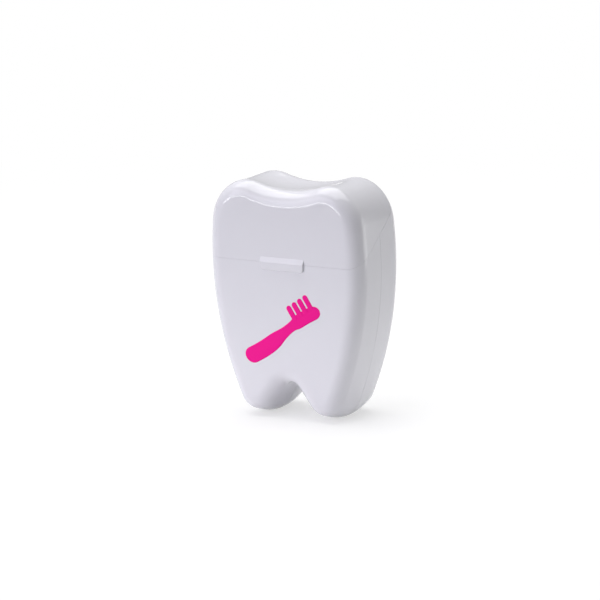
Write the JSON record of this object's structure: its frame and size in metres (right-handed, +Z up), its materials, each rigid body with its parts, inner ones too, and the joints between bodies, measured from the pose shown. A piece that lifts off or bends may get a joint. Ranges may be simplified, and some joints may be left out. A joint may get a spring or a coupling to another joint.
{
  "type": "dental floss dispenser",
  "caption": "Pocket dental floss dispenser shaped like a molar, with a hinged flip lid, a steel cutter on an inner tray and a floss bobbin on a spindle.",
  "frame": {"origin": "centre of the bounding box at the level of the root tips", "axes": "+Z up from the roots to the cusps, -Y out of the front face with the thumb lip, X across the width"},
  "size_m": [0.0414, 0.0201, 0.0556],
  "materials": {
    "case_white": "moulded gloss white",
    "lid_white": "moulded gloss white",
    "tray_white": "moulded satin white",
    "bobbin_plastic": "moulded matte off-white",
    "cutter_steel": "stamped strip, brushed",
    "pin_steel": "drawn wire",
    "floss": "waxed multifilament thread"
  },
  "bodies": {
    "case": {"front_shell": "case_white", "rear_shell": "case_white", "hinge_pin": "pin_steel", "cutter_tray": "tray_white", "cutter_blade": "cutter_steel", "floss_strand": "floss"},
    "lid": {"flip_lid": "lid_white"},
    "bobbin": {"bobbin_spool": "bobbin_plastic", "floss_winding": "floss"}
  },
  "joints": [
    {"name": "lid_hinge", "type": "hinge", "parent": "case", "child": "lid", "pos_m": [0, 0.00845, 0.0486], "axis": [-1, 0, 0], "range_deg": [0, 105]},
    {"name": "bobbin_spin", "type": "hinge", "parent": "case", "child": "bobbin", "pos_m": [0, 0, 0.02415], "axis": [0, 1, 0], "continuous": true}
  ]
}
